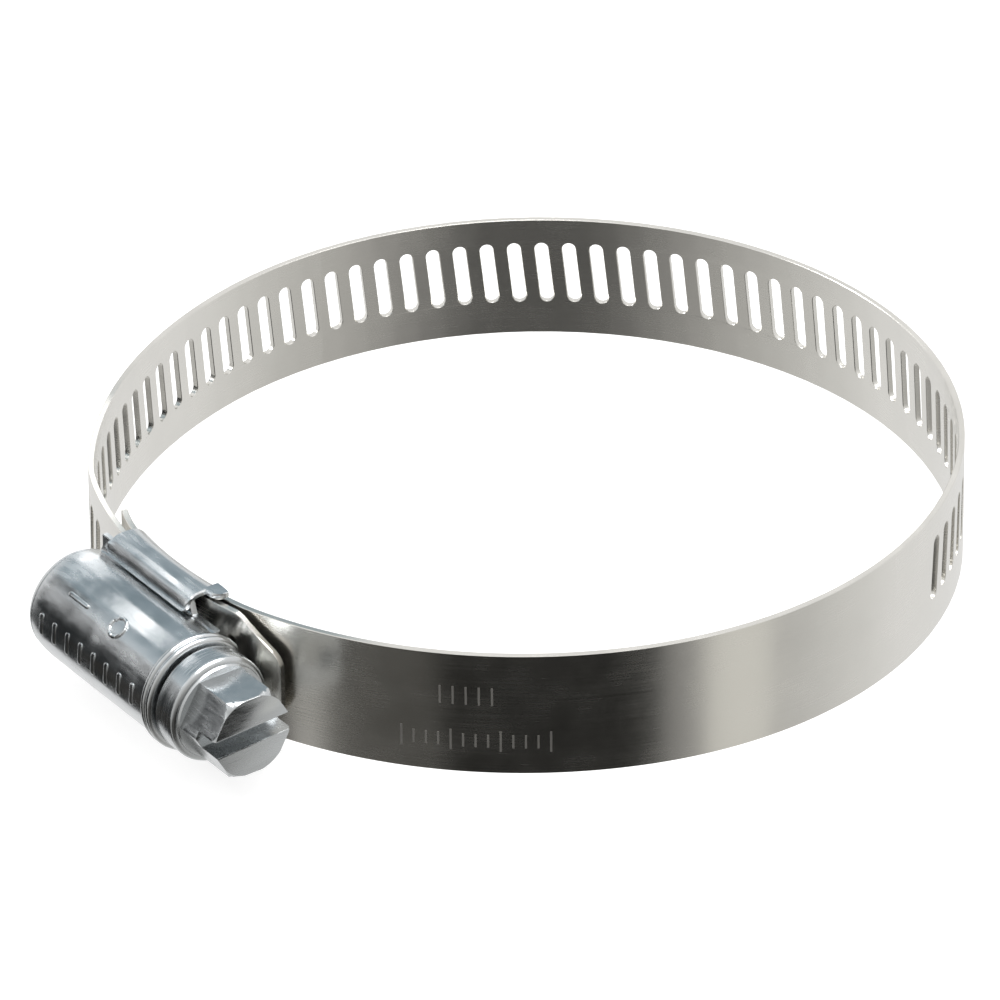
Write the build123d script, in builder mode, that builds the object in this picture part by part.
"""Worm-drive hose clamp: slotted band, saddle, housing and worm screw, in millimetres.

The origin is the centre of the loop, at the middle of the band's width. +Z runs along the hose,
the housing stands at -Y, and the screw lies along X with its hex head at +X. The band runs
counter-clockwise, seen from +Z: from the solid end under the housing, round the loop, in at the
housing's -X side as the slotted outer layer, and out again at +X as the tail.
"""
from build123d import *
from math import acos, atan2, cos, degrees, radians, sin, sqrt
import os

# Band
band_width = 12.7
band_thickness = 0.6
loop_bore_r = 39.8
loop_r = loop_bore_r + band_thickness / 2
fixed_r = 41.55                 # mid-thickness radius of the solid end inside the saddle
tail_r = 42.6                   # mid-thickness radius of the slotted end under the worm
tongue_r = 20.0                 # the solid end's tip curls inwards from the saddle arc
tongue_sweep = 16.0
fixed_start = 262.5             # degrees round the loop where the saddle arc starts
fixed_end = 284.0               # where the solid end leaves the saddle
right_shoulder_end = 339.7      # where its gentle shoulder meets the round loop
left_shoulder_start = 194.7     # where the slotted span leaves the round loop
entry_angle = 244.0             # where the slotted span reaches the tail's radius
tail_tip_x = 15.2
tip_flat = 6.0                  # height of the straight end edge between the two cut corners
tip_cut_length = 5.0

# Slots
slot_pitch = 2.706
slot_length = 6.55
slot_width = 1.35
slot_slant = 6.0
slot_rise = 0.45                # slot centre above mid-width
first_slot = 31.4               # degrees round the loop

# Flex lines, where the springy band is divided for its motion
flex_angle = 72.0
knuckle_r = band_thickness / 2
knuckle_gap = 0.03

# Housing
axis_y = -46.6
dome_r = 5.5
housing_wall = 0.6
housing_start, housing_end = -8.4, 10.4
foot_top, foot_bottom = 43.85, 43.15    # distance of the feet's two faces from the loop's axis
foot_inner, foot_outer = 4.0, 6.35
foot_end = 7.0                  # the feet stop short of the end ring
end_ring_r = 5.8
end_ring_length = 1.5
end_ring_cut = 42.4
lip_cut = 43.5
lip_length = 0.9

# Saddle
saddle_start, saddle_end = -6.4, 6.8
saddle_sheet = 0.75
saddle_top = 7.25
base_outer_r = fixed_r - band_thickness / 2 - 0.05
curl_inner = 5.25
curl_gap = 0.05
wall_lip, lip_out = 1.5, 42.4    # the walls run on past the curls at +X, out to this distance

# Screw
thread_r = 4.65
core_r = 3.55
neck_r = 3.7
pilot_r = 2.9
running_gap = 0.05
collar_r = 5.3
collar_start, collar_end = 12.3, 15.2
hex_end = 20.5
hex_across_flats = 7.94
driver_slot_width, driver_slot_depth = 1.8, 2.6
thread_turns_before, thread_turns_after = 2, 3.4    # counted from the slot nearest the middle
thread_root, thread_tip = 1.0, 0.5      # thread thickness at the core and at its tip
pilot_start, core_start, core_end = -9.7, -8.2, 10.2
driver_slot_turn = 3.0               # degrees the slot is turned from Y towards Z


def polar(radius, angle, centre=(0, 0)):
    """Point at a radius and an angle in degrees from a centre."""
    return (centre[0] + radius * cos(radians(angle)), centre[1] + radius * sin(radians(angle)))


def bearing(point, centre):
    """Angle in degrees, 0 to 360, of a point seen from a centre."""
    return degrees(atan2(point[1] - centre[1], point[0] - centre[0])) % 360


def shoulder(tangent_angle, far_angle, far_r):
    """Arc tangent inside the round loop at one angle that passes through a larger radius at another.

    Returns its centre and its radius."""
    spread = cos(radians(far_angle - tangent_angle))
    offset = (far_r ** 2 - loop_r ** 2) / (2 * (loop_r - far_r * spread))
    return polar(-offset, tangent_angle), loop_r + offset


left_centre, left_shoulder_r = shoulder(left_shoulder_start, entry_angle, tail_r)
left_start = bearing(polar(loop_r, left_shoulder_start), left_centre)
entry_point = polar(tail_r, entry_angle)
left_end = bearing(entry_point, left_centre)

right_centre, right_shoulder_r = shoulder(right_shoulder_end, fixed_end, fixed_r)
right_start = bearing(polar(fixed_r, fixed_end), right_centre)
right_end = bearing(polar(loop_r, right_shoulder_end), right_centre)

tongue_centre = polar(fixed_r - tongue_r, fixed_start)
tip_angle = 270 + degrees(acos(sqrt(1 - (tail_tip_x / tail_r) ** 2)))

# Slot stations: equal steps of arc length along loop, left shoulder and tail
loop_run = radians(left_shoulder_start - first_slot) * loop_r
shoulder_run = radians(left_end - left_start) * left_shoulder_r
tail_run = radians(tip_angle - entry_angle) * tail_r


def station(run):
    """Plane on the band's mid surface, a run of arc length past the first slot, with X along the band."""
    if run < loop_run:
        centre, radius, angle = (0, 0), loop_r, first_slot + degrees(run / loop_r)
    elif run < loop_run + shoulder_run:
        centre, radius = left_centre, left_shoulder_r
        angle = left_start + degrees((run - loop_run) / left_shoulder_r)
    else:
        centre, radius = (0, 0), tail_r
        angle = entry_angle + degrees((run - loop_run - shoulder_run) / tail_r)
    x, y = polar(radius, angle, centre)
    normal = (cos(radians(angle)), sin(radians(angle)), 0)
    return Plane(origin=(x, y, 0), x_dir=(-normal[1], normal[0], 0), z_dir=normal)


flex_run = radians(flex_angle - first_slot) * loop_r
entry_run = loop_run + shoulder_run
last_run = entry_run + tail_run - 3.0
runs = [i * slot_pitch for i in range(int(last_run / slot_pitch) + 1)]
solid_slots = [station(run) for run in runs if run < flex_run]
span_slots = [station(run) for run in runs if flex_run < run < entry_run]
tail_slots = [station(run) for run in runs if run > entry_run]
flex_point = polar(loop_r, flex_angle)

# ---- Solid end of the band: tongue, saddle arc, right shoulder, front and right of the loop ----
with BuildPart() as band_solid_end:
    with BuildSketch():
        with BuildLine():
            CenterArc(tongue_centre, tongue_r, fixed_start - tongue_sweep, tongue_sweep)
            CenterArc((0, 0), fixed_r, fixed_start, fixed_end - fixed_start)
            CenterArc(right_centre, right_shoulder_r, right_start, right_end - right_start)
            CenterArc((0, 0), loop_r, right_shoulder_end, 360 + flex_angle - right_shoulder_end)
        trace(line_width=band_thickness)
        with Locations(flex_point):
            Circle(knuckle_r + knuckle_gap, mode=Mode.SUBTRACT)
    extrude(amount=band_width / 2, both=True)
    with BuildSketch(*solid_slots):
        with Locations((0, slot_rise)):
            SlotOverall(slot_length, slot_width, rotation=90 - slot_slant)
    extrude(amount=1, both=True, mode=Mode.SUBTRACT)

# ---- Slotted span: back and left of the loop, left shoulder ----
with BuildPart() as band_slotted_span:
    with BuildSketch():
        with BuildLine():
            CenterArc((0, 0), loop_r, flex_angle, left_shoulder_start - flex_angle)
            CenterArc(left_centre, left_shoulder_r, left_start, left_end - left_start)
        trace(line_width=band_thickness)
        with Locations(flex_point):
            Circle(knuckle_r)
        with Locations(entry_point):
            Circle(knuckle_r + knuckle_gap, mode=Mode.SUBTRACT)
    extrude(amount=band_width / 2, both=True)
    with BuildSketch(*span_slots):
        with Locations((0, slot_rise)):
            SlotOverall(slot_length, slot_width, rotation=90 - slot_slant)
    extrude(amount=1, both=True, mode=Mode.SUBTRACT)

# ---- Tail: the slotted end under the worm, with its cut corners ----
tip_plane = station(entry_run + tail_run)
with BuildPart() as band_tail:
    with BuildSketch():
        with BuildLine():
            CenterArc((0, 0), tail_r, entry_angle, tip_angle - entry_angle)
        trace(line_width=band_thickness)
        with Locations(entry_point):
            Circle(knuckle_r)
    extrude(amount=band_width / 2, both=True)
    with BuildSketch(*tail_slots):
        with Locations((0, slot_rise)):
            SlotOverall(slot_length, slot_width, rotation=90 - slot_slant)
    extrude(amount=1, both=True, mode=Mode.SUBTRACT)
    with BuildSketch(tip_plane):
        with Locations((-tip_cut_length / 2, 0)):
            Rectangle(tip_cut_length, tip_flat)
        with Locations((-tip_cut_length - 20, 0)):
            Rectangle(40, band_width + 1)
        make_hull()
    extrude(amount=20, both=True, mode=Mode.INTERSECT)

# ---- Saddle: base inside the solid end, walls past the band's edges, curls over the feet ----
with BuildPart() as saddle:
    wall_mid = (saddle_top + saddle_top - saddle_sheet) / 2
    curl_bottom = foot_top + curl_gap
    curl_top = curl_bottom + saddle_sheet
    lip_middle = -(base_outer_r + lip_out) / 2
    with BuildSketch(Plane.YZ.offset(saddle_start)):
        with Locations((-(base_outer_r - 1.6 + curl_top) / 2, wall_mid)):
            Rectangle(curl_top - base_outer_r + 1.6, saddle_sheet)
        with Locations((-(curl_bottom + curl_top) / 2, (curl_inner + saddle_top) / 2)):
            Rectangle(saddle_sheet, saddle_top - curl_inner)
        mirror(about=Plane.XZ)
    extrude(amount=saddle_end - saddle_start)
    with BuildSketch(Plane.XY.offset(-saddle_top)):
        Circle(base_outer_r - saddle_sheet)
    extrude(amount=2 * saddle_top, mode=Mode.SUBTRACT)
    with BuildSketch():
        Circle(base_outer_r)
        Circle(base_outer_r - saddle_sheet, mode=Mode.SUBTRACT)
        with Locations(((saddle_start + saddle_end) / 2, -base_outer_r)):
            Rectangle(saddle_end - saddle_start, 6, mode=Mode.INTERSECT)
    extrude(amount=saddle_top - saddle_sheet / 2, both=True)
    with BuildSketch(Plane.YZ.offset(saddle_end)):
        with Locations((lip_middle, wall_mid), (lip_middle, -wall_mid)):
            Rectangle(lip_out - base_outer_r + saddle_sheet, saddle_sheet)
    extrude(amount=wall_lip)

# ---- Housing: dome on two feet, turned-in lip at -X, double end ring at +X ----
foot_mid = (foot_top + foot_bottom) / 2
foot_centre = (foot_inner + foot_outer) / 2
screw_axis = Axis((0, axis_y, 0), (1, 0, 0))
lip_start = housing_start - lip_length
ring_end = housing_end + end_ring_length
lip_bore_y = axis_y + pilot_r + running_gap
ring_bore_y = axis_y + neck_r + running_gap
ring_top_y = axis_y + end_ring_r
ring_corner = 0.3
end_rims = ((lip_start, lip_length, lip_cut), (housing_end, end_ring_length, end_ring_cut))
with BuildPart() as housing:
    # Turned-in lip round the screw's plain end, and the rolled ring round its neck
    with BuildSketch(Plane.XY):
        with BuildLine():
            Polyline((housing_start, lip_bore_y), (lip_start, lip_bore_y),
                     (lip_start, axis_y + dome_r - lip_length), (housing_start, axis_y + dome_r - 0.05),
                     close=True)
        make_face()
        with BuildLine():
            Polyline((housing_end, ring_bore_y), (ring_end, ring_bore_y),
                     (ring_end, ring_top_y - ring_corner), (ring_end - ring_corner, ring_top_y),
                     (housing_end + ring_corner, ring_top_y), (housing_end, ring_top_y - ring_corner),
                     close=True)
        make_face()
    revolve(axis=screw_axis)
    for start, length, cut in end_rims:
        with BuildSketch(Plane.YZ.offset(start)):
            with Locations((3 - cut, 0)):
                Rectangle(6, 2 * end_ring_r + 1)
        extrude(amount=length, mode=Mode.SUBTRACT)
    with BuildSketch(Plane.YZ.offset(housing_start)):
        with Locations((axis_y, 0)):
            Circle(dome_r)
            Circle(dome_r - housing_wall, mode=Mode.SUBTRACT)
        with Locations((3 - foot_mid, 0)):
            Rectangle(6, 2 * dome_r + 1, mode=Mode.SUBTRACT)
    extrude(amount=housing_end - housing_start)
    with BuildSketch(Plane.YZ.offset(housing_start)):
        with Locations((-foot_mid, foot_centre), (-foot_mid, -foot_centre)):
            Rectangle(foot_top - foot_bottom, foot_outer - foot_inner)
    extrude(amount=foot_end - housing_start)

# ---- Worm screw: plain end, threaded core, neck, collar and slotted hex head, one turned piece ----
slot_x = min((plane.origin.X for plane in tail_slots), key=abs)
thread_start = slot_x - slot_pitch * thread_turns_before
thread_length = slot_pitch * (thread_turns_before + thread_turns_after)
screw_plane = Plane(origin=(0, axis_y, 0), x_dir=(0, 1, 0), z_dir=(1, 0, 0))
helix_plane = Plane(origin=(thread_start, axis_y, 0), x_dir=(0, 1, 0), z_dir=(1, 0, 0))
sunk = 0.15                     # how far the thread's root is sunk into the core
thread_depth = thread_r - core_r + sunk
thread_path = helix_plane * Helix(slot_pitch, thread_length, core_r - sunk, mode=Mode.PRIVATE)
corner_r = hex_across_flats / sqrt(3)
with BuildPart() as worm_screw:
    with BuildSketch(Plane.XY):
        with BuildLine():
            Polyline(
                (pilot_start, axis_y), (pilot_start, axis_y + pilot_r - 0.5),
                (pilot_start + 0.5, axis_y + pilot_r), (core_start, axis_y + pilot_r),
                (core_start, axis_y + core_r), (core_end, axis_y + core_r),
                (core_end, axis_y + neck_r), (collar_start, axis_y + neck_r),
                (collar_start, axis_y + collar_r), (collar_end - 0.6, axis_y + collar_r),
                (collar_end, axis_y + collar_r - 0.5), (collar_end, axis_y), close=True)
        make_face()
    revolve(axis=screw_axis)
    with BuildSketch(screw_plane.offset(collar_end)):
        RegularPolygon(corner_r, 6)
    extrude(amount=hex_end - collar_end)
    with BuildSketch(Plane.XY):
        with BuildLine():
            Polyline((hex_end - 0.9, axis_y + corner_r + 0.3), (hex_end, axis_y + corner_r - 0.55),
                     (hex_end + 1, axis_y + corner_r - 0.55), (hex_end + 1, axis_y + corner_r + 0.3),
                     close=True)
        make_face()
    revolve(axis=screw_axis, mode=Mode.SUBTRACT)
    with BuildSketch(screw_plane.offset(hex_end)):
        Rectangle(2 * hex_across_flats, driver_slot_width, rotation=driver_slot_turn)
    extrude(amount=-driver_slot_depth, mode=Mode.SUBTRACT)

with BuildPart() as thread:
    with BuildSketch(Plane(origin=thread_path @ 0, x_dir=(0, 1, 0), z_dir=thread_path % 0)):
        with BuildLine():
            Polyline((0, -thread_root / 2), (thread_depth, -thread_tip / 2), (thread_depth, thread_tip / 2),
                     (0, thread_root / 2), close=True)
        make_face()
    sweep(path=thread_path, is_frenet=True)
worm_screw.part = worm_screw.part + thread.part

os.makedirs("parts", exist_ok=True)
pieces = {"band_solid_end": band_solid_end, "band_slotted_span": band_slotted_span, "band_tail": band_tail,
          "saddle": saddle, "housing": housing, "worm_screw": worm_screw}
for name, piece in pieces.items():
    piece.part.label = name
    export_step(piece.part, f"parts/{name}.step")
    print(name, len(piece.part.solids()), round(piece.part.volume, 2))
print("flex point", flex_point, "entry point", entry_point, "slot nearest the middle", slot_x)
